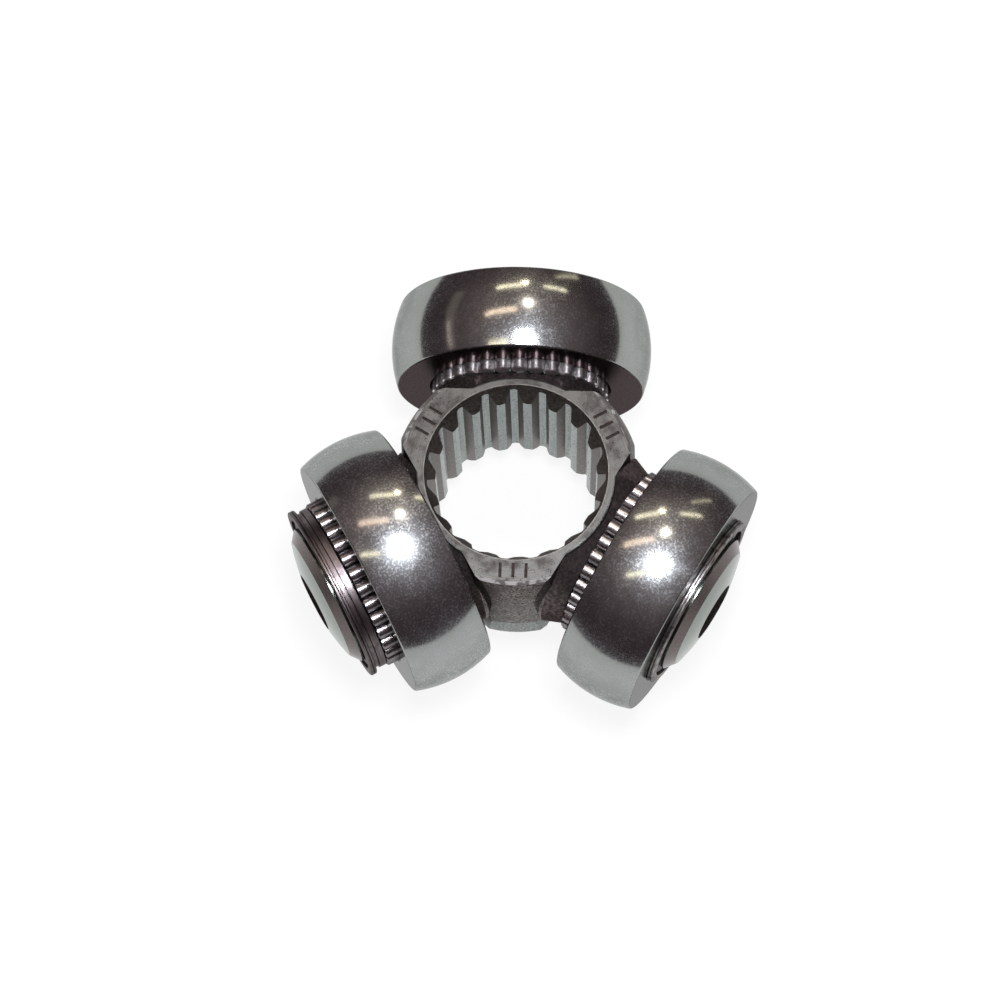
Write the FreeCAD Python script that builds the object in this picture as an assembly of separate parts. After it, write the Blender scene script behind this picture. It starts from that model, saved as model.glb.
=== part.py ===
import FreeCAD, Part
import math
import os

# Tripod joint of a drive shaft, in millimetres.
# A forged spider slides on the splined shaft end and carries three trunnions. On each trunnion a
# spherical roller runs on a full ring of loose needles, held in by a turned retainer and a circlip.
# The origin is where the hub axis crosses the plane of the trunnion axes, and +Z leaves the
# marked face of the hub. Each arm is built along +X and then turned to its place.

# Arms: their directions about Z, and how far each roller has slid out, as a share of its travel
arm_angles = [90.0, 210.0, 330.0]
roller_slid_shares = [0.718, 0.005, 1.0]
roller_stop_overlap = 1.3

# Roller
roller_radius = 20.0
roller_crown_radius = 18.8
roller_width = 12.7
roller_wall = 6.4
roller_edge_round = 0.35
roller_bore_chamfer = 0.35

# Needles
needle_diameter = 2.44
needle_length = 13.2
needle_end_round = 0.16
needle_radial_clearance = 0.03
needle_side_gap = 0.05
needle_end_clearance = 0.1

# Trunnion, with the circlip's groove, and the cone that joins it to the hub
circlip_groove_depth = 0.5
trunnion_end_land = 0.6
trunnion_end_chamfer = 1.6
trunnion_dome_height = 3.15
end_recess_radius = 4.58
end_recess_depth = 2.4
end_recess_taper = 20.0
shoulder_face_distance = 15.9
shoulder_face_step = 0.73
shoulder_root_step = 1.23
shoulder_root_depth = 1.0
shoulder_level_drop = 0.1
shoulder_slope_drop = 0.4
shoulder_slope = 38.0

# Hub: a round crown and three lobes, which are widest at the parting plane of the forging dies
hub_top_cover = 1.3
hub_bottom_cover = 1.8
crown_wall = 1.33
crown_edge_round = 0.45
lobe_radius = 17.35
lobe_edge_round = 0.35
lobe_belly = 1.45
lobe_belly_top = 5.0
lobe_belly_bottom = -3.5
lobe_foot_flare = 0.25
lobe_flat_distance = 12.9
lobe_flat_belly = 0.55
lobe_flat_foot = -0.45
lobe_parting_height = -1.0
lobe_bevel_angle = 21.0
lobe_bevel_top = 0.1
lobe_bevel_belly = 0.6
lobe_bevel_foot = 0.25

# Internal spline
spline_teeth = 19
spline_tip_radius = 12.07
spline_tooth_height = 1.23
spline_tip_width = 1.3
spline_root_width = 1.1
spline_corner_ease = 0.06
spline_turn = 3.3
lead_in_margin = 0.37
lead_in_half_angle = 23.0
lower_chamfer = 0.7

# Witness notches on the marked face of each lobe, placed by shares of the lobe's wall
notch_count = 3
notch_spacing = 1.9
notch_width = 0.46
notch_depth = 0.2
notch_start_share = 0.1304
notch_end_share = 0.7418

# Retainer and circlip
retainer_body_step = 0.4
retainer_body_length = 1.6
retainer_bore_clearance = 0.08
retainer_neck_step = 0.25
retainer_neck_start = 1.1
retainer_lip = 0.18
retainer_flange_start = 1.9
retainer_flange_width = 0.9
retainer_seat_clearance = 0.38
retainer_edge_chamfer = 0.12
retainer_flange_groove = 0.15
circlip_thickness = 0.8
circlip_width = 1.45
circlip_gap_angle = 34.0
circlip_seat_clearance = 0.05

# Sizes that follow from those above, from the roller's bore inward
roller_bore_radius = roller_radius - roller_wall
needle_radius = needle_diameter / 2
needle_pitch_radius = roller_bore_radius - needle_radial_clearance - needle_radius
needle_count = int(2 * math.pi * needle_pitch_radius / (needle_diameter + needle_side_gap))
trunnion_radius = needle_pitch_radius - needle_radius - needle_radial_clearance
hub_top = trunnion_radius + hub_top_cover
hub_bottom = trunnion_radius + hub_bottom_cover
spline_root_radius = spline_tip_radius + spline_tooth_height
lead_in_radius = spline_root_radius + lead_in_margin
crown_radius = lead_in_radius + crown_wall
lobe_mid_angles = [angle + 60.0 for angle in arm_angles]

# Sizes along a trunnion, from the hub outward
needle_start = shoulder_face_distance + needle_end_clearance
retainer_start = needle_start + needle_length + needle_end_clearance
circlip_groove_start = retainer_start + retainer_body_length
circlip_groove_radius = trunnion_radius - circlip_groove_depth
circlip_start = circlip_groove_start + circlip_seat_clearance
circlip_groove_end = circlip_start + circlip_thickness + circlip_seat_clearance
trunnion_dome_radius = circlip_groove_end + trunnion_dome_height
circlip_outer_radius = circlip_groove_radius + circlip_seat_clearance + circlip_width

# Where the rollers stand: each slides between its hub-side stop and the retainer's flange
roller_stop_face = shoulder_face_distance - roller_stop_overlap
roller_travel = retainer_start + retainer_flange_start - roller_stop_face - roller_width
roller_nearest = roller_stop_face + roller_width / 2
roller_offsets = [roller_nearest + share * roller_travel for share in roller_slid_shares]

os.makedirs("parts", exist_ok=True)


def point(x, y):
    return FreeCAD.Vector(x, y, 0)


def lines(points):
    return [Part.LineSegment(point(*a), point(*b)).toShape() for a, b in zip(points, points[1:])]


def arc(start, middle, end):
    return Part.Arc(point(*start), point(*middle), point(*end)).toShape()


def polar(radius, degrees):
    turn = math.radians(degrees)
    return radius * math.cos(turn), radius * math.sin(turn)


def turned_on_x(edges):
    # A ring or shaft turned about the X axis from its half section of (distance, radius) points
    section = Part.Face(Part.Wire(edges))
    return section.revolve(point(0, 0), FreeCAD.Vector(1, 0, 0), 360)


def turned_on_z(edges):
    section = Part.Face(Part.Wire(edges))
    section.rotate(point(0, 0), FreeCAD.Vector(1, 0, 0), 90)
    return section.revolve(point(0, 0), FreeCAD.Vector(0, 0, 1), 360)


def to_arm(shape, angle):
    placed = shape.copy()
    placed.rotate(point(0, 0), FreeCAD.Vector(0, 0, 1), angle)
    return placed


def write_node(shape, name):
    shape.exportStep(f"parts/{name}.step")
    print(name, len(shape.Solids), "solid(s)", round(shape.Volume, 2), "mm3")


def eased_corner(start, corner, end):
    # A quarter round between two edges that would meet square in a corner
    inset = 1 - math.sqrt(0.5)
    centre = (start[0] + end[0] - corner[0], start[1] + end[1] - corner[1])
    middle = [c + (1 - inset) * (k - c) for c, k in zip(centre, corner)]
    return arc(start, middle, end)


def crown():
    # The round middle of the hub, its two outer edges eased by the turning tool
    side = crown_radius - crown_edge_round
    low = (crown_radius, crown_edge_round - hub_bottom)
    high = (crown_radius, hub_top - crown_edge_round)
    bottom = lines([(0, hub_top), (0, -hub_bottom), (side, -hub_bottom)])
    low_round = eased_corner((side, -hub_bottom), (crown_radius, -hub_bottom), low)
    high_round = eased_corner(high, (crown_radius, hub_top), (side, hub_top))
    top = lines([(side, hub_top), (0, hub_top)])
    return turned_on_z(bottom + [low_round] + lines([low, high]) + [high_round] + top)


def lobe_ring():
    # The outside of the lobes before their flats: it swells to the parting plane and draws in below
    belly = lobe_radius + lobe_belly
    rise = hub_top - lobe_belly_top
    swell_radius = (rise ** 2 + lobe_belly ** 2) / (2 * lobe_belly)

    def swell(height):
        return belly - swell_radius + math.sqrt(swell_radius ** 2 - (height - lobe_belly_top) ** 2)

    edge = (swell(hub_top - lobe_edge_round), hub_top - lobe_edge_round)
    middle_height = (hub_top + lobe_belly_top) / 2
    side = lines([(0, hub_top), (0, -hub_bottom), (lobe_radius + lobe_foot_flare, -hub_bottom),
                  (belly, lobe_belly_bottom), (belly, lobe_belly_top)])
    curve = arc((belly, lobe_belly_top), (swell(middle_height), middle_height), edge)
    top = lines([edge, (lobe_radius - lobe_edge_round, hub_top), (0, hub_top)])
    return turned_on_z(side + [curve] + top)


def side_cutter(at_top, at_belly, at_bottom):
    # Takes off all that lies past three distances along +X: at the top face, the belly and the bottom
    far = 2 * lobe_radius
    outline = lines([(at_top, 2 * hub_top), (at_top, hub_top), (at_belly, lobe_parting_height),
                     (at_bottom, -hub_bottom), (at_bottom, -2 * hub_bottom),
                     (far, -2 * hub_bottom), (far, 2 * hub_top), (at_top, 2 * hub_top)])
    section = Part.Face(Part.Wire(outline))
    section.rotate(point(0, 0), FreeCAD.Vector(1, 0, 0), 90)
    section.translate(FreeCAD.Vector(0, far, 0))
    return section.extrude(FreeCAD.Vector(0, -2 * far, 0))


def corner_distance(radius, flat_distance):
    # How far the corner of lobe and flat stands out along the bevel's own direction
    corner = math.acos(flat_distance / radius)
    return radius * math.cos(corner - math.radians(lobe_bevel_angle))


def lobes():
    # The flats have the die's draft on both sides of the parting plane, and so have their bevels
    belly_flat = lobe_flat_distance + lobe_flat_belly
    foot_flat = lobe_flat_distance + lobe_flat_foot
    flat = side_cutter(lobe_flat_distance, belly_flat, foot_flat)
    bevel = side_cutter(corner_distance(lobe_radius, lobe_flat_distance) - lobe_bevel_top,
                        corner_distance(lobe_radius + lobe_belly, belly_flat) - lobe_bevel_belly,
                        corner_distance(lobe_radius + lobe_foot_flare, foot_flat) - lobe_bevel_foot)
    turns = (-lobe_bevel_angle, lobe_bevel_angle)
    cutters = [to_arm(flat, angle) for angle in arm_angles]
    cutters += [to_arm(bevel, angle + turn) for angle in arm_angles for turn in turns]
    return lobe_ring().cut(cutters)


def notches(angle):
    wall = lobe_radius - lead_in_radius
    start = lead_in_radius + notch_start_share * wall
    end = lead_in_radius + notch_end_share * wall
    cutters = []
    for index in range(notch_count):
        across = (index - (notch_count - 1) / 2) * notch_spacing
        cutter = Part.makeBox(end - start, notch_width, 2 * notch_depth)
        cutter.translate(FreeCAD.Vector(start, across - notch_width / 2, hub_top - notch_depth))
        cutters.append(to_arm(cutter, angle))
    return cutters


def spline_bore():
    # The space inside the teeth: tips and roots are eased arcs, joined by straight flanks
    pitch = 360.0 / spline_teeth
    tip_half = math.degrees(math.asin(spline_tip_width / 2 / spline_tip_radius))
    root_half = math.degrees(math.asin(spline_root_width / 2 / spline_root_radius))
    tip_corner = spline_tip_radius + spline_corner_ease
    root_corner = spline_root_radius - spline_corner_ease
    edges = []
    for tooth in range(spline_teeth):
        middle = -90.0 + spline_turn + tooth * pitch
        gap = middle + pitch / 2
        tip = [polar(tip_corner, middle - tip_half), polar(spline_tip_radius, middle),
               polar(tip_corner, middle + tip_half)]
        root = [polar(root_corner, gap - root_half), polar(spline_root_radius, gap),
                polar(root_corner, gap + root_half)]
        next_tip = polar(tip_corner, middle + pitch - tip_half)
        edges += [arc(*tip)] + lines([tip[2], root[0]]) + [arc(*root)] + lines([root[2], next_tip])
    bore = Part.Face(Part.Wire(edges)).extrude(FreeCAD.Vector(0, 0, hub_top + hub_bottom))
    bore.translate(FreeCAD.Vector(0, 0, -hub_bottom))
    return bore


def lead_in():
    # The cone that guides the shaft into the spline from the marked face
    depth = lead_in_radius / math.tan(math.radians(lead_in_half_angle))
    tip = FreeCAD.Vector(0, 0, hub_top - depth)
    return Part.makeCone(0, lead_in_radius, depth, tip)


def lower_lead():
    start = spline_tip_radius - lower_chamfer
    end = spline_tip_radius + lower_chamfer
    height = end - start
    return Part.makeCone(end, start, height, FreeCAD.Vector(0, 0, -hub_bottom))


def shoulder():
    # The cone between hub and needles, which slopes away from just below the hub's two faces
    face_radius = roller_bore_radius - shoulder_face_step
    root_radius = face_radius + shoulder_root_step
    root = lobe_flat_distance - shoulder_root_depth
    face = shoulder_face_distance
    cone = turned_on_x(lines([(root, 0), (root, root_radius), (lobe_flat_distance, root_radius),
                              (face, face_radius), (face, 0), (root, 0)]))
    slope = math.tan(math.radians(shoulder_slope))
    start = crown_radius - (shoulder_slope_drop - shoulder_level_drop) / slope
    reach = 2 * lobe_radius
    fall = (reach - start) * slope
    high = hub_top - shoulder_level_drop
    low = shoulder_level_drop - hub_bottom
    band = turned_on_z(lines([(0, high), (0, low), (start, low), (reach, low + fall),
                              (reach, high - fall), (start, high), (0, high)]))
    return cone.common(band)


def trunnion():
    rim = trunnion_radius - trunnion_end_chamfer
    dome_edge = math.sqrt(trunnion_dome_radius ** 2 - rim ** 2)
    mouth = math.sqrt(trunnion_dome_radius ** 2 - end_recess_radius ** 2)
    middle_radius = (rim + end_recess_radius) / 2
    middle = math.sqrt(trunnion_dome_radius ** 2 - middle_radius ** 2)
    floor_radius = end_recess_radius - end_recess_depth * math.tan(math.radians(end_recess_taper))
    floor = mouth - end_recess_depth
    chamfer = circlip_groove_end + trunnion_end_land
    groove = [(circlip_groove_start, trunnion_radius), (circlip_groove_start, circlip_groove_radius),
              (circlip_groove_end, circlip_groove_radius), (circlip_groove_end, trunnion_radius)]
    side = lines([(0, 0), (0, trunnion_radius)] + groove + [(chamfer, trunnion_radius), (dome_edge, rim)])
    dome = arc((dome_edge, rim), (middle, middle_radius), (mouth, end_recess_radius))
    recess = lines([(mouth, end_recess_radius), (floor, floor_radius), (floor, 0), (0, 0)])
    return turned_on_x(side + [dome] + recess)


def spider():
    arms = [to_arm(limb, angle) for angle in arm_angles for limb in (shoulder(), trunnion())]
    forging = lobes().fuse([crown()] + arms).removeSplitter()
    marks = [cutter for angle in lobe_mid_angles for cutter in notches(angle)]
    return forging.cut([spline_bore(), lead_in(), lower_lead()] + marks)


def roller(offset):
    half = roller_width / 2
    rim = roller_radius - roller_crown_radius + math.sqrt(roller_crown_radius ** 2 - half ** 2)
    bore = roller_bore_radius
    mouth = bore + roller_bore_chamfer
    inside = lines([(half, rim), (half, mouth), (half - roller_bore_chamfer, bore),
                    (roller_bore_chamfer - half, bore), (-half, mouth), (-half, rim)])
    blank = turned_on_x([arc((-half, rim), (0, roller_radius), (half, rim))] + inside)
    rims = [edge for edge in blank.Edges if abs(edge.Length - 2 * math.pi * rim) < 0.01]
    finished = blank.makeFillet(roller_edge_round, rims)
    finished.translate(FreeCAD.Vector(offset, 0, 0))
    return finished


def needle():
    end = needle_start + needle_length
    ease = needle_end_round
    body = lines([(needle_start, 0), (needle_start, needle_radius - ease),
                  (needle_start + ease, needle_radius), (end - ease, needle_radius),
                  (end, needle_radius - ease), (end, 0), (needle_start, 0)])
    return turned_on_x(body)


def needle_ring():
    needles = []
    for index in range(needle_count):
        piece = needle()
        piece.translate(FreeCAD.Vector(0, 0, needle_pitch_radius))
        piece.rotate(point(0, 0), FreeCAD.Vector(1, 0, 0), index * 360.0 / needle_count)
        needles.append(piece)
    return Part.makeCompound(needles)


def retainer():
    start = retainer_start
    bore = trunnion_radius + retainer_bore_clearance
    body = roller_bore_radius - retainer_body_step
    waist = body - retainer_neck_step
    neck = start + retainer_neck_start
    flange = start + retainer_flange_start
    end = flange + retainer_flange_width
    middle = (flange + end) / 2
    edge = retainer_edge_chamfer
    rim = roller_bore_radius + retainer_lip
    groove = retainer_flange_groove
    seat = circlip_outer_radius + retainer_seat_clearance
    web = start + retainer_body_length
    body_side = [(start, bore), (start, body - edge), (start + edge, body), (neck, body),
                 (neck + edge, waist)]
    flange_side = [(flange, waist), (flange, rim - edge), (flange + edge, rim),
                   (middle - groove / 2, rim), (middle, rim - groove), (middle + groove / 2, rim),
                   (end - edge, rim), (end, rim - edge)]
    inside = [(end, seat), (web, seat), (web, bore), (start, bore)]
    return turned_on_x(lines(body_side + flange_side + inside))


def circlip():
    # A flat spring ring, open over a gap that the pliers widen to slip it over the trunnion
    inner = circlip_groove_radius + circlip_seat_clearance
    outer = circlip_outer_radius
    end = circlip_start + circlip_thickness
    ring = turned_on_x(lines([(circlip_start, inner), (circlip_start, outer), (end, outer), (end, inner),
                              (circlip_start, inner)]))
    half_gap = math.radians(circlip_gap_angle / 2)
    across = 2 * outer * math.cos(half_gap)
    apart = 2 * outer * math.sin(half_gap)
    apex = FreeCAD.Vector(0, 0, 0)
    corners = [apex, FreeCAD.Vector(0, across, apart), FreeCAD.Vector(0, across, -apart), apex]
    wedge = Part.makePolygon(corners)
    return ring.cut(Part.Face(wedge).extrude(FreeCAD.Vector(2 * circlip_start, 0, 0)))


write_node(spider(), "spider")
for number, (angle, offset) in enumerate(zip(arm_angles, roller_offsets), start=1):
    write_node(to_arm(roller(offset), angle), f"roller_{number}")
    write_node(to_arm(needle_ring(), angle), f"needle_set_{number}")
    write_node(to_arm(retainer(), angle), f"retainer_{number}")
    write_node(to_arm(circlip(), angle), f"circlip_{number}")
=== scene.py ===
import bpy
import math
from mathutils import Matrix, Vector


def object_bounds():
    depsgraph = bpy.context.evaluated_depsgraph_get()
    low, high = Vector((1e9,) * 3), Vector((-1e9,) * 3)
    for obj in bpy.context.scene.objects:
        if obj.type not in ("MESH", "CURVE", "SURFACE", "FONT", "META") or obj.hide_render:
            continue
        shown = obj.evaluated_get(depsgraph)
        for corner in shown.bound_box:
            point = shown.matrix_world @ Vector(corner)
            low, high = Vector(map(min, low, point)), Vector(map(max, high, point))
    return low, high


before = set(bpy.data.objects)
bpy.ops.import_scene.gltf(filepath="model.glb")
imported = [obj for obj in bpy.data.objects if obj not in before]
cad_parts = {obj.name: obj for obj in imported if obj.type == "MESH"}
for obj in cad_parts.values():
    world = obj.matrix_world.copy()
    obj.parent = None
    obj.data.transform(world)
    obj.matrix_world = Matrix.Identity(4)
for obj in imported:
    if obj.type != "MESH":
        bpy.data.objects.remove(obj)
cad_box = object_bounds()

# Spider: one steel forging with a splined hub and three trunnions.
# The die leaves the lobes and shoulders dark and grainy; the hub faces are turned, the spline is
# broached with one long tool, and the trunnions are ground, so each face shows how it was made.
hub_top = 0.0124
lead_in_radius = 0.01367
crown_radius = 0.015
crown_edge_round = 0.00045
lobe_radius = 0.01735
lobe_edge_round = 0.00035
notch_depth = 0.0002
notch_outer_margin = 0.00075
parting_height = -0.0034
trimmed_height = -0.0042
trunnion_chamfer_start = 0.0324
trunnion_dome_radius = 0.0095
end_recess_radius = 0.00458
shoulder_face_distance = 0.0159
lobe_flat_distance = 0.0129
arm_angles = {1: 90.0, 2: 210.0, 3: 330.0}
millimetre = 0.001
near = 0.05 * millimetre
square_on = 0.99


def linear(hex_colour, alpha=1.0):
    """An sRGB hex colour as the linear values that the shaders take."""
    parts = [int(hex_colour[i:i + 2], 16) / 255 for i in (1, 3, 5)]
    bent = [v / 12.92 if v <= 0.04045 else ((v + 0.055) / 1.055) ** 2.4 for v in parts]
    return (*bent, alpha)


def add_node(tree, kind, settings=None, inputs=None):
    """A node with its settings, its input values and the links into it."""
    made = tree.nodes.new(kind)
    for name, value in (settings or {}).items():
        setattr(made, name, value)
    for name, value in (inputs or {}).items():
        if isinstance(value, bpy.types.NodeSocket):
            tree.links.new(value, made.inputs[name])
        else:
            made.inputs[name].default_value = value
    return made


def new_material(name):
    material = bpy.data.materials.new(name)
    material.use_nodes = True
    material.node_tree.nodes.clear()
    return material


def arm_point(tree, angle):
    """Coordinates in metres with X along the arm at that angle, so that a pattern can run round the arm."""
    place = add_node(tree, "ShaderNodeTexCoord")
    turned = add_node(tree, "ShaderNodeMapping", {"vector_type": "POINT"},
                      {"Vector": place.outputs["Object"], "Rotation": (0, 0, -math.radians(angle))})
    return turned.outputs["Vector"]


def mixed(tree, factor, first, second):
    """Two colours blended by a factor."""
    blend = add_node(tree, "ShaderNodeMix", {"data_type": "RGBA"}, {0: factor, 6: first, 7: second})
    return blend.outputs[2]


def grain(tree, point, size_mm, detail=3.0, stretch=(1, 1, 1)):
    """Noise with blotches of about that size; stretch under 1 makes them longer along that axis."""
    scaled = add_node(tree, "ShaderNodeVectorMath", {"operation": "MULTIPLY"}, {0: point, 1: stretch})
    noise = add_node(tree, "ShaderNodeTexNoise", {},
                     {"Vector": scaled.outputs[0], "Scale": 1 / (size_mm * millimetre), "Detail": detail})
    return noise.outputs["Fac"]


def ramp(tree, value, low, high, out_low=0.0, out_high=1.0):
    """A value that rises from out_low to out_high as its input goes from low to high."""
    made = add_node(tree, "ShaderNodeMapRange", {"interpolation_type": "SMOOTHSTEP"},
                    {"Value": value, "From Min": low, "From Max": high,
                     "To Min": out_low, "To Max": out_high})
    return made.outputs["Result"]


def metal(tree, colour, roughness, metallic=1.0, edge="#FFFFFF", bump=None, bump_mm=0.01):
    """The shader that ends each metal: colour and roughness from nodes, the rest as constants."""
    shader = add_node(tree, "ShaderNodeBsdfPrincipled", {},
                      {"Base Color": colour, "Roughness": roughness, "Metallic": metallic,
                       "Specular Tint": linear(edge)})
    if bump is not None:
        relief = add_node(tree, "ShaderNodeBump", {}, {"Height": bump, "Distance": bump_mm * millimetre})
        tree.links.new(relief.outputs["Normal"], shader.inputs["Normal"])
    add_node(tree, "ShaderNodeOutputMaterial", {}, {"Surface": shader.outputs["BSDF"]})


def height_of(tree, point):
    """How far a point lies above the plane of the trunnions, in metres."""
    return add_node(tree, "ShaderNodeSeparateXYZ", {}, {0: point}).outputs["Z"]


def hub_distance(tree, point):
    """How far a point lies from the hub axis, in metres."""
    level = add_node(tree, "ShaderNodeVectorMath", {"operation": "MULTIPLY"}, {0: point, 1: (1, 1, 0)})
    length = add_node(tree, "ShaderNodeVectorMath", {"operation": "LENGTH"}, {0: level.outputs[0]})
    return length.outputs["Value"]


def forged_steel():
    # Steel as it left the die and the shot blast: a dull brown-grey skin with a 0.3 mm grain
    # that turns paler and greener below, where the flash was trimmed off
    material = new_material("forged_steel")
    tree = material.node_tree
    point = arm_point(tree, 0)
    fine = grain(tree, point, 0.3, 4)
    broad = grain(tree, point, 3.0, 2)
    skin = mixed(tree, ramp(tree, fine, 0.35, 0.65), linear("#3E3836"), linear("#857F7B"))
    worn = mixed(tree, ramp(tree, broad, 0.4, 0.7), skin, linear("#5A5451"))
    trimmed = ramp(tree, height_of(tree, point), parting_height, trimmed_height)
    pale = mixed(tree, ramp(tree, fine, 0.35, 0.65), linear("#565D5A"), linear("#979E99"))
    metal(tree, mixed(tree, trimmed, worn, pale), ramp(tree, fine, 0.3, 0.7, 0.62, 0.45), 0.85,
          bump=fine, bump_mm=0.05)
    return material


def edge_highlight_steel():
    # Narrow round on the rim of a lobe, scuffed by handling and partly painted lighter as a highlight: pale
    # patches on a grey line
    material = new_material("edge_highlight_steel")
    tree = material.node_tree
    point = arm_point(tree, 0)
    patch = grain(tree, point, 1.6, 2)
    # Pale patches: partly scuff wear, partly painted highlight along the rim
    colour = mixed(tree, ramp(tree, patch, 0.46, 0.62), linear("#5C5755"), linear("#A5A2A2"))
    metal(tree, colour, ramp(tree, patch, 0.4, 0.6, 0.6, 0.5), 0.35)
    return material


def shoulder_steel():
    # Forged cone wiped with oil: nearly black, with the grain of the die showing faintly
    material = new_material("shoulder_steel")
    tree = material.node_tree
    point = arm_point(tree, 0)
    fine = grain(tree, point, 0.5, 4)
    skin = mixed(tree, ramp(tree, fine, 0.35, 0.7), linear("#494243"), linear("#706766"))
    metal(tree, skin, ramp(tree, fine, 0.3, 0.7, 0.5, 0.38), 0.9, edge="#7C7472", bump=fine, bump_mm=0.03)
    return material


def faced_steel():
    # Hub face turned flat on a lathe: satin warm grey with rings 0.12 mm apart and handling stains;
    # the bore edge carries a thin painted highlight, broken into patches
    material = new_material("faced_steel")
    tree = material.node_tree
    point = arm_point(tree, 0)
    radius = hub_distance(tree, point)
    ring = add_node(tree, "ShaderNodeTexNoise", {"noise_dimensions": "1D"},
                    {"W": radius, "Scale": 1 / (0.12 * millimetre), "Detail": 2.0})
    stain = grain(tree, point, 2.2, 4)
    speck = grain(tree, point, 0.3, 2)
    clean = mixed(tree, ramp(tree, ring.outputs["Fac"], 0.3, 0.7), linear("#575756"), linear("#676766"))
    dull = mixed(tree, ramp(tree, stain, 0.45, 0.7), clean, linear("#474443"))
    worn = mixed(tree, ramp(tree, speck, 0.6, 0.72), dull, linear("#332F2E"))
    # Painted highlight: a lighter ring along the bore edge, broken up by patches
    highlight_breaks = ramp(tree, grain(tree, point, 1.1, 2), 0.4, 0.6, 0.3, 1.0)
    rim = ramp(tree, radius, lead_in_radius + 0.2 * millimetre, lead_in_radius + 0.08 * millimetre)
    painted_rim_highlight = add_node(tree, "ShaderNodeMath", {"operation": "MULTIPLY"}, {0: rim, 1: highlight_breaks}).outputs[0]
    colour = mixed(tree, painted_rim_highlight, worn, linear("#7C7A77"))
    metal(tree, colour, ramp(tree, stain, 0.3, 0.7, 0.48, 0.56), bump=ring.outputs["Fac"], bump_mm=0.012)
    return material


def notch_steel():
    # Floor and sides of the witness notches, coloured near black so that they read as dark lines
    material = new_material("notch_steel")
    tree = material.node_tree
    fine = grain(tree, arm_point(tree, 0), 0.3, 3)
    colour = mixed(tree, ramp(tree, fine, 0.3, 0.7), linear("#1C1716"), linear("#322B29"))
    metal(tree, colour, ramp(tree, fine, 0.3, 0.7, 0.5, 0.6), 0.8)
    return material


def broached_steel():
    # Lands of the spline, cut by a broach drawn through the hub: smooth, pale and faintly green,
    # with streaks along the cut and small dark chips left by the teeth of the tool
    material = new_material("broached_steel")
    tree = material.node_tree
    point = arm_point(tree, 0)
    streak = grain(tree, point, 0.25, 3, (1, 1, 0.05))
    speck = grain(tree, point, 0.3, 3)
    lands = mixed(tree, ramp(tree, streak, 0.3, 0.7), linear("#687270"), linear("#7A8280"))
    colour = mixed(tree, ramp(tree, speck, 0.62, 0.7), lands, linear("#4A4340"))
    metal(tree, colour, ramp(tree, speck, 0.5, 0.72, 0.24, 0.5), bump=streak, bump_mm=0.01)
    return material


def oiled_steel(name, dark, light, front_shade, edge):
    # Cut steel in a film of old oil: the flanks of the teeth, and the lead-in at their ends, which is
    # darkened towards black along the front of the bore as painted shade
    material = new_material(name)
    tree = material.node_tree
    point = arm_point(tree, 0)
    fine = grain(tree, point, 0.4, 3)
    clean = mixed(tree, ramp(tree, fine, 0.3, 0.7), linear(dark), linear(light))
    forward = add_node(tree, "ShaderNodeSeparateXYZ", {}, {0: point}).outputs["Y"]
    # Painted shade: the part of the bore nearer the front is blended towards near black
    front_shade_mask = ramp(tree, forward, -1 * millimetre, -7 * millimetre, 0, front_shade)
    colour = mixed(tree, front_shade_mask, clean, linear("#1C1818"))
    metal(tree, colour, ramp(tree, fine, 0.3, 0.7, 0.36, 0.48), edge=edge, bump=fine, bump_mm=0.02)
    return material


def turned_steel():
    # Bevel of the trunnion end as the lathe left it: darker than the ground steel, with a fine tooth
    material = new_material("turned_steel")
    tree = material.node_tree
    point = arm_point(tree, 0)
    fine = grain(tree, point, 0.3, 3)
    colour = mixed(tree, ramp(tree, fine, 0.3, 0.7), linear("#5C5453"), linear("#6C6462"))
    metal(tree, colour, ramp(tree, fine, 0.3, 0.7, 0.24, 0.32), bump=fine, bump_mm=0.006)
    return material


def ground_steel():
    # Trunnion and its domed end, hardened and ground: an even pale grey sheen
    material = new_material("ground_steel")
    tree = material.node_tree
    point = arm_point(tree, 0)
    fine = grain(tree, point, 0.4, 3)
    colour = mixed(tree, ramp(tree, fine, 0.3, 0.7), linear("#6E7670"), linear("#7A827B"))
    metal(tree, colour, ramp(tree, fine, 0.3, 0.7, 0.16, 0.24), bump=fine, bump_mm=0.003)
    return material


def shaded_recess_steel():
    # Bottom of the centre recess, never machined: coloured near black as painted shade inside the hole
    material = new_material("shaded_recess_steel")
    tree = material.node_tree
    fine = grain(tree, arm_point(tree, 0), 0.4, 3)
    colour = mixed(tree, ramp(tree, fine, 0.3, 0.7), linear("#1B1716"), linear("#332C2A"))
    metal(tree, colour, ramp(tree, fine, 0.3, 0.7, 0.6, 0.7), 0.5, bump=fine, bump_mm=0.05)
    return material


def hub_finish(centre, normal, along):
    """Which machining made a face of the hub: the spline, the marks, the turned ends or the forging."""
    from_hub = math.hypot(centre.x, centre.y)
    inward = -(normal.x * centre.x + normal.y * centre.y) / from_hub
    slopes_up = normal.z > 0.2
    if from_hub < lead_in_radius - near and abs(normal.z) < square_on:
        if slopes_up:
            return "lead_in"
        return "broached" if inward > 0.95 else "flank"
    in_notches = from_hub < lobe_radius - notch_outer_margin and along < crown_radius - near
    if in_notches and centre.z > hub_top - notch_depth - near:
        if abs(normal.z) < 0.02 or (normal.z > square_on and centre.z < hub_top - near):
            return "notch"
    if abs(normal.z) > square_on or (from_hub < crown_radius and centre.z > hub_top - crown_edge_round):
        return "faced"
    if centre.z > hub_top - lobe_edge_round - near and slopes_up:
        return "edge"
    return "shoulder" if along > lobe_flat_distance - near else "forged"


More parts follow.
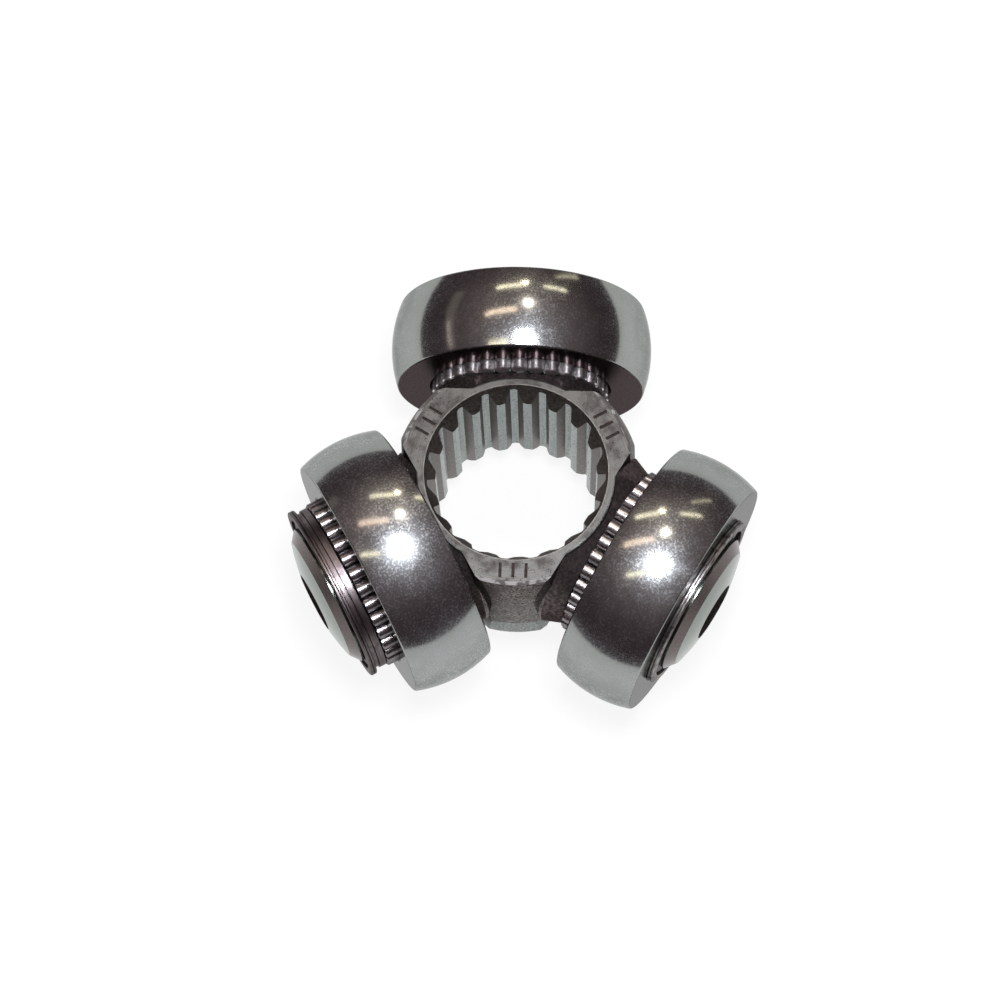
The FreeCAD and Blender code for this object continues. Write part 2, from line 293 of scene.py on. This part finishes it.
def spider_finish(centre, normal):
    """Which machining made a face of the spider, from where it lies."""
    along = max(centre.x * math.cos(math.radians(a)) + centre.y * math.sin(math.radians(a))
                for a in arm_angles.values())
    from_arm = math.sqrt(max(centre.length_squared - along * along, 0.0))
    if along < shoulder_face_distance + near:
        return hub_finish(centre, normal, along)
    if from_arm < end_recess_radius - near:
        return "recess"
    bevelled = along > trunnion_chamfer_start - near and from_arm > trunnion_dome_radius - 2 * near
    return "turned" if bevelled else "ground"


def finished(node, *finishes):
    """The piece of that node, with those materials in place of its own."""
    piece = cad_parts[node]
    piece.data.materials.clear()
    for finish in finishes:
        piece.data.materials.append(finish)
    return piece


spider_finishes = {"forged": forged_steel(), "shoulder": shoulder_steel(), "edge": edge_highlight_steel(),
                   "faced": faced_steel(), "notch": notch_steel(), "broached": broached_steel(),
                   "flank": oiled_steel("flank_steel", "#585250", "#827E7B", 0.0, "#FFFFFF"),
                   # The lead-in's 0.9 is the strength of the painted shade along the front of the bore
                   "lead_in": oiled_steel("lead_in_steel", "#6A6360", "#908884", 0.9, "#BCB6B4"),
                   "turned": turned_steel(), "ground": ground_steel(), "recess": shaded_recess_steel()}
spider = finished("spider", *spider_finishes.values())
finish_order = list(spider_finishes)
for face in spider.data.polygons:
    face.material_index = finish_order.index(spider_finish(face.center, face.normal))

# Rollers: rings of bearing steel, hardened, ground to a ball-like crown and polished.
# They mirror their surroundings, and fine pits and scratches glitter round each lamp.


def polished_steel(angle, wear):
    # Crown polished to a mirror, under a haze of fine pits and scratches that spreads the lamps' light
    material = new_material(f"polished_steel_{angle:.0f}")
    tree = material.node_tree
    point = arm_point(tree, angle)
    pit = grain(tree, point, 0.3, 3)
    cloud = grain(tree, point, 3.0, 3)
    scratch = grain(tree, point, 0.3, 2, (1, 0.15, 0.15))
    height = add_node(tree, "ShaderNodeMath", {"operation": "ADD"},
                      {0: ramp(tree, pit, 0.55, 0.75), 1: ramp(tree, scratch, 0.6, 0.8, 0, 0.6)})
    relief = add_node(tree, "ShaderNodeBump", {},
                      {"Height": height.outputs[0], "Distance": 0.0016 * millimetre})
    colour = mixed(tree, ramp(tree, cloud, 0.3, 0.7), linear("#969995"), linear("#9C9F9B"))
    mirror = add_node(tree, "ShaderNodeBsdfPrincipled", {},
                      {"Base Color": colour, "Roughness": 0.12, "Metallic": 1.0,
                       "Specular Tint": linear("#BABCBA"), "Normal": relief.outputs["Normal"]})
    haze = add_node(tree, "ShaderNodeBsdfPrincipled", {},
                    {"Base Color": linear("#A6A9AC"), "Roughness": 0.35, "Metallic": 1.0})
    glint = ramp(tree, pit, 0.46, 0.7, 0.18, 0.6)
    pitted = add_node(tree, "ShaderNodeMath", {"operation": "MULTIPLY"},
                      {0: glint, 1: ramp(tree, cloud, 0.3, 0.7, 0.5 * wear, wear)})
    share = add_node(tree, "ShaderNodeMath", {"operation": "ADD", "use_clamp": True},
                     {0: pitted.outputs[0], 1: ramp(tree, scratch, 0.66, 0.76, 0.0, 0.35)})
    both = add_node(tree, "ShaderNodeMixShader", {},
                    {0: share.outputs[0], 1: mirror.outputs[0], 2: haze.outputs[0]})
    add_node(tree, "ShaderNodeOutputMaterial", {}, {"Surface": both.outputs[0]})
    return material


def face_ground_steel(angle, side, dark, light):
    # A flat face of the roller, ground to a soft mirror; the inner one is darker, as painted shade
    material = new_material(f"face_ground_steel_{side}_{angle:.0f}")
    tree = material.node_tree
    point = arm_point(tree, angle)
    fine = grain(tree, point, 0.3, 3)
    colour = mixed(tree, ramp(tree, fine, 0.3, 0.7), linear(dark), linear(light))
    metal(tree, colour, ramp(tree, fine, 0.3, 0.7, 0.12, 0.2), edge="#9C9C9C", bump=fine, bump_mm=0.002)
    return material


crown_wear = {1: 1.0, 2: 1.75, 3: 1.4}
for number, angle in arm_angles.items():
    axis = Vector((math.cos(math.radians(angle)), math.sin(math.radians(angle)), 0))
    roller = finished(f"roller_{number}", polished_steel(angle, crown_wear[number]),
                      face_ground_steel(angle, "outer", "#8E918C", "#9EA19B"),
                      # The inner face takes darker colours than the outer one: painted shade, since it
                      # faces the hub
                      face_ground_steel(angle, "inner", "#5E5657", "#6E6667"))
    for face in roller.data.polygons:
        outward = face.center - axis * face.center.dot(axis)
        crowned = face.normal.dot(outward) > 0 and abs(face.normal.dot(axis)) < 0.9
        face.material_index = 0 if crowned else (1 if face.normal.dot(axis) > 0.5 else 2)

# Needles: 31 loose needles on each trunnion, hardened and ground, in a film of oil.
# Each is a small cylinder mirror, so it shows one white streak of the lamp and dark sides.


def needle_steel(name, dark, light):
    # Ground bearing steel, oiled: bright streaks between dark gaps
    material = new_material(name)
    tree = material.node_tree
    fine = grain(tree, arm_point(tree, 0), 0.25, 3)
    colour = mixed(tree, ramp(tree, fine, 0.3, 0.7), linear(dark), linear(light))
    metal(tree, colour, ramp(tree, fine, 0.3, 0.7, 0.27, 0.36), edge="#9A9698", bump=fine, bump_mm=0.004)
    return material


oiled_needles = needle_steel("needle_steel_oiled", "#7C787A", "#9E999B")
# Painted light: the first set's needles are given near-white colours so that their streaks show brighter
# than the other sets'
painted_bright_needles = needle_steel("needle_steel_painted_bright", "#E4E1E2", "#F6F4F4")
for number in arm_angles:
    finished(f"needle_set_{number}", painted_bright_needles if number == 1 else oiled_needles)

# Retainers: steel rings turned on a lathe, with a flange that stops the roller and the needles.
# Oil darkens them, and the turned rings round them catch the light in thin lines.


def retainer_steel(angle, dark, light):
    # Turned and oiled steel: rings 0.15 mm apart, run round the arm
    material = new_material(f"retainer_steel_{angle:.0f}")
    tree = material.node_tree
    point = arm_point(tree, angle)
    ring = grain(tree, point, 0.15, 2, (1, 0.03, 0.03))
    stain = grain(tree, point, 1.2, 3)
    clean = mixed(tree, ramp(tree, ring, 0.3, 0.7), linear(dark), linear(light))
    colour = mixed(tree, ramp(tree, stain, 0.45, 0.7), clean, linear("#625B5B"))
    metal(tree, colour, ramp(tree, stain, 0.3, 0.7, 0.3, 0.42), edge="#B4B4B2", bump=ring, bump_mm=0.01)
    return material


# Painted light and shade: the same turned steel is darker on the second retainer and lighter on the third
retainer_lit_and_shaded_tones = {1: ("#7E7878", "#9A9494"), 2: ("#625A5C", "#7C7476"), 3: ("#969292", "#B4B0B0")}
for number, angle in arm_angles.items():
    finished(f"retainer_{number}", retainer_steel(angle, *retainer_lit_and_shaded_tones[number]))

# Circlips: flat rings of spring steel in a groove at the end of each trunnion.
# They were hardened and blackened, and sprung over the trunnion's end with pliers.


def spring_steel():
    # Blackened spring steel: a soft, nearly black gloss
    material = new_material("spring_steel")
    tree = material.node_tree
    fine = grain(tree, arm_point(tree, 0), 0.3, 3)
    colour = mixed(tree, ramp(tree, fine, 0.3, 0.7), linear("#2B2624"), linear("#463F3C"))
    metal(tree, colour, ramp(tree, fine, 0.3, 0.7, 0.48, 0.56), 0.9, bump=fine, bump_mm=0.004)
    return material


circlip_material = spring_steel()
for number in arm_angles:
    finished(f"circlip_{number}", circlip_material)

# Table: a pale sheet under the rollers, white to the eye and to the metal, which keeps a soft shadow.
# It is paper, laid flat; the share of its light that the shadow can take away is small.
table_size = 4.0
shadow_share = 0.12


def paper():
    # White paper lit to the level of the background
    material = new_material("paper")
    tree = material.node_tree
    seen = seen_rays(tree)
    glow = add_node(tree, "ShaderNodeEmission", {}, {"Color": linear("#FFFFFF"), "Strength": 1.0})
    matt = add_node(tree, "ShaderNodeBsdfDiffuse", {}, {"Color": linear("#F2F2F0")})
    share = add_node(tree, "ShaderNodeMath", {"operation": "MULTIPLY"}, {0: seen, 1: 1 - shadow_share})
    both = add_node(tree, "ShaderNodeMixShader", {},
                    {0: share.outputs[0], 1: matt.outputs[0], 2: glow.outputs[0]})
    add_node(tree, "ShaderNodeOutputMaterial", {}, {"Surface": both.outputs[0]})
    return material


def seen_rays(tree):
    """1 for rays from the camera and for those that metal or glass sends on, otherwise 0."""
    path = add_node(tree, "ShaderNodeLightPath")
    first = add_node(tree, "ShaderNodeMath", {"operation": "MAXIMUM"},
                     {0: path.outputs["Is Camera Ray"], 1: path.outputs["Is Glossy Ray"]})
    second = add_node(tree, "ShaderNodeMath", {"operation": "MAXIMUM"},
                      {0: first.outputs[0], 1: path.outputs["Is Transmission Ray"]})
    return second.outputs[0]


def sheet_mesh(name, points, faces, material):
    mesh = bpy.data.meshes.new(name)
    mesh.from_pydata(points, [], faces)
    mesh.materials.append(material)
    made = bpy.data.objects.new(name, mesh)
    bpy.context.scene.collection.objects.link(made)
    return made


floor_height = cad_box[0].z
half = table_size / 2
sheet_mesh("table", [(-half, -half, floor_height), (half, -half, floor_height), (half, half, floor_height),
                     (-half, half, floor_height)], [(0, 1, 2, 3)], paper())

# Room: a dark brown ceiling and walls that only the metal sees, as in a workshop with the lamps low.
# The white sheet ends at its inner rim, nearer in front than behind, which gives the rollers their
# dark centres. Tube lamps and a window hang in it, since a mirror shows them as streaks.
room_centre = Vector((0.06, 0.13))
room_rim = 0.32
room_radius = 1.4
room_height = 1.9
room_rings = 12
room_sides = 48
rim_lift = 0.0005
lamp_distance = 1.1
tubes = {
    "tube_1": {"from": (46.3, -152), "to": (49, -179), "width": 0.07, "strength": 4.5},
    "tube_2": {"from": (45.4, 157.5), "to": (35.5, 138.5), "width": 0.06, "strength": 4.0},
    "tube_3": {"from": (30, 153.7), "to": (15.5, 143.5), "width": 0.05, "strength": 1.6},
    "tube_4": {"from": (57, -114.7), "to": (72.5, -168), "width": 0.09, "strength": 3.8, "tint": "#FFE0C8"},
    "tube_5": {"from": (59, -65), "to": (74, -42), "width": 0.07, "strength": 4.0},
}
windows = {
    "window_1": {"from": (24, -130), "to": (25, -108), "width": 0.16, "strength": 0.35},
    "window_2": {"from": (25, -108), "to": (26, -81), "width": 0.16, "strength": 0.4},
    "window_3": {"from": (25, -104), "to": (26, -82), "width": 0.07, "strength": 1.1, "nearer": 0.97},
}
tube_light = "#FFF3D6"
window_light = "#E6D3CC"


def room_gloom():
    # Unlit walls: brown near the table, darker overhead, with soft shapes of furniture
    material = new_material("room_gloom")
    tree = material.node_tree
    place = add_node(tree, "ShaderNodeTexCoord")
    shapes = add_node(tree, "ShaderNodeTexNoise", {},
                      {"Vector": place.outputs["Object"], "Scale": 1.6, "Detail": 1.0})
    soft = ramp(tree, shapes.outputs["Fac"], 0.3, 0.7, 0.75, 1.0)
    overhead = add_node(tree, "ShaderNodeMath", {"operation": "MULTIPLY"},
                        {0: ramp(tree, height_of(tree, place.outputs["Object"]), 0.3, 1.5), 1: soft})
    colour = mixed(tree, overhead.outputs[0], linear("#4C3E43"), linear("#7E6E70"))
    glow = add_node(tree, "ShaderNodeEmission", {}, {"Color": colour, "Strength": 1.0})
    add_node(tree, "ShaderNodeOutputMaterial", {}, {"Surface": glow.outputs[0]})
    return material


def glass_glow(name, colour, strength):
    # A lamp or a window seen in the metal, in its colour and as bright as its strength
    material = new_material(name)
    glow = add_node(material.node_tree, "ShaderNodeEmission", {},
                    {"Color": linear(colour), "Strength": strength})
    add_node(material.node_tree, "ShaderNodeOutputMaterial", {}, {"Surface": glow.outputs[0]})
    return material


def toward(elevation, azimuth):
    """A point of the room in a direction from the hub, in degrees above the table and from the front."""
    high, round_ = math.radians(elevation), math.radians(azimuth)
    return lamp_distance * Vector((math.cos(high) * math.sin(round_), -math.cos(high) * math.cos(round_),
                                   math.sin(high)))


profile = [(room_radius * math.sin(math.pi / 2 * ring / room_rings),
            room_height * math.cos(math.pi / 2 * ring / room_rings)) for ring in range(1, room_rings + 1)]
profile.append((room_rim, 0.0))
room_points = [(0, 0, room_height)]
for reach, height in profile:
    for side in range(room_sides):
        turn = 2 * math.pi * side / room_sides
        room_points.append((reach * math.cos(turn), reach * math.sin(turn), height))
room_faces = [(0, 1 + side, 1 + (side + 1) % room_sides) for side in range(room_sides)]
for ring in range(len(profile) - 1):
    start = 1 + ring * room_sides
    for side in range(room_sides):
        other = (side + 1) % room_sides
        room_faces.append((start + side, start + room_sides + side,
                           start + room_sides + other, start + other))
room = sheet_mesh("room", room_points, room_faces, room_gloom())
room.location = (room_centre.x, room_centre.y, floor_height + rim_lift)
fittings = [room]
for name, pane in {**tubes, **windows}.items():
    nearer = pane.get("nearer", 1.0)
    start, end = nearer * toward(*pane["from"]), nearer * toward(*pane["to"])
    across = (end - start).cross(start + end).normalized() * pane["width"] / 2
    tint = pane.get("tint", tube_light if name in tubes else window_light)
    fittings.append(sheet_mesh(name, [start - across, end - across, end + across, start + across],
                               [(0, 1, 2, 3)], glass_glow(name, tint, pane["strength"])))
for fitting in fittings:
    fitting.visible_camera = False
    fitting.visible_diffuse = False
    fitting.visible_shadow = False

# Light: a small flash above the hub and two spot lamps far behind it, as the three white points on each
# roller show them. The white surroundings are a soft fill for every face that the lamps don't reach.
lamps = {
    "flash": {"place": (0.018, -0.035, 0.268), "size": 0.07, "watts": 0.75, "colour": "#F6F9FF"},
    "spot": {"place": (0.105, 0.44, 1.02), "size": 0.09, "watts": 1.6, "colour": "#FFF4E6"},
    "far_spot": {"place": (0.04, 0.77, 0.81), "size": 0.06, "watts": 0.4, "colour": "#FFEFD0"},
}
for name, lamp in lamps.items():
    light = bpy.data.lights.new(name, "AREA")
    light.shape = "DISK"
    light.size = lamp["size"]
    light.energy = lamp["watts"]
    light.color = linear(lamp["colour"])[:3]
    placed = bpy.data.objects.new(name, light)
    placed.location = lamp["place"]
    placed.rotation_mode = "QUATERNION"
    placed.rotation_quaternion = (-Vector(lamp["place"])).to_track_quat("-Z", "Y")
    bpy.context.scene.collection.objects.link(placed)

fill_strength = 0.55
world = bpy.data.worlds.new("surroundings")
world.use_nodes = True
world.node_tree.nodes.clear()
seen = seen_rays(world.node_tree)
strength = add_node(world.node_tree, "ShaderNodeMapRange", {},
                    {"Value": seen, "To Min": fill_strength, "To Max": 1.0})
sky = add_node(world.node_tree, "ShaderNodeBackground", {},
               {"Color": linear("#FFFFFF"), "Strength": strength.outputs["Result"]})
add_node(world.node_tree, "ShaderNodeOutputWorld", {}, {"Surface": sky.outputs[0]})
bpy.context.scene.world = world

# Camera: 72 degrees above the table and nearly in front, with a long lens, turned a little on its axis.
# Its place was fitted to the outlines of the rollers, the bore and the needle rings.
camera_distance = 0.46468
camera_elevation = math.radians(71.86)
camera_azimuth = math.radians(4.94)
camera_roll = math.radians(-3.35)
camera_shift = Vector((0.0026, 0.00038))
camera_lens = 110.08

back = Vector((math.sin(camera_azimuth) * math.cos(camera_elevation),
               -math.cos(camera_azimuth) * math.cos(camera_elevation), math.sin(camera_elevation)))
level = Vector((0, 0, 1)).cross(back).normalized()
upright = back.cross(level)
right = math.cos(camera_roll) * level + math.sin(camera_roll) * upright
up = math.cos(camera_roll) * upright - math.sin(camera_roll) * level
camera_data = bpy.data.cameras.new("camera")
camera_data.sensor_width = 36.0
camera_data.lens = camera_lens
camera_data.clip_start = 0.01
camera_data.clip_end = 20.0
camera = bpy.data.objects.new("camera", camera_data)
facing = Matrix((right, up, back)).transposed()
stand = camera_distance * back - camera_shift.x * right - camera_shift.y * up
camera.matrix_world = Matrix.Translation(stand) @ facing.to_4x4()
bpy.context.scene.collection.objects.link(camera)
bpy.context.scene.camera = camera
bpy.context.scene.view_settings.view_transform = "Standard"
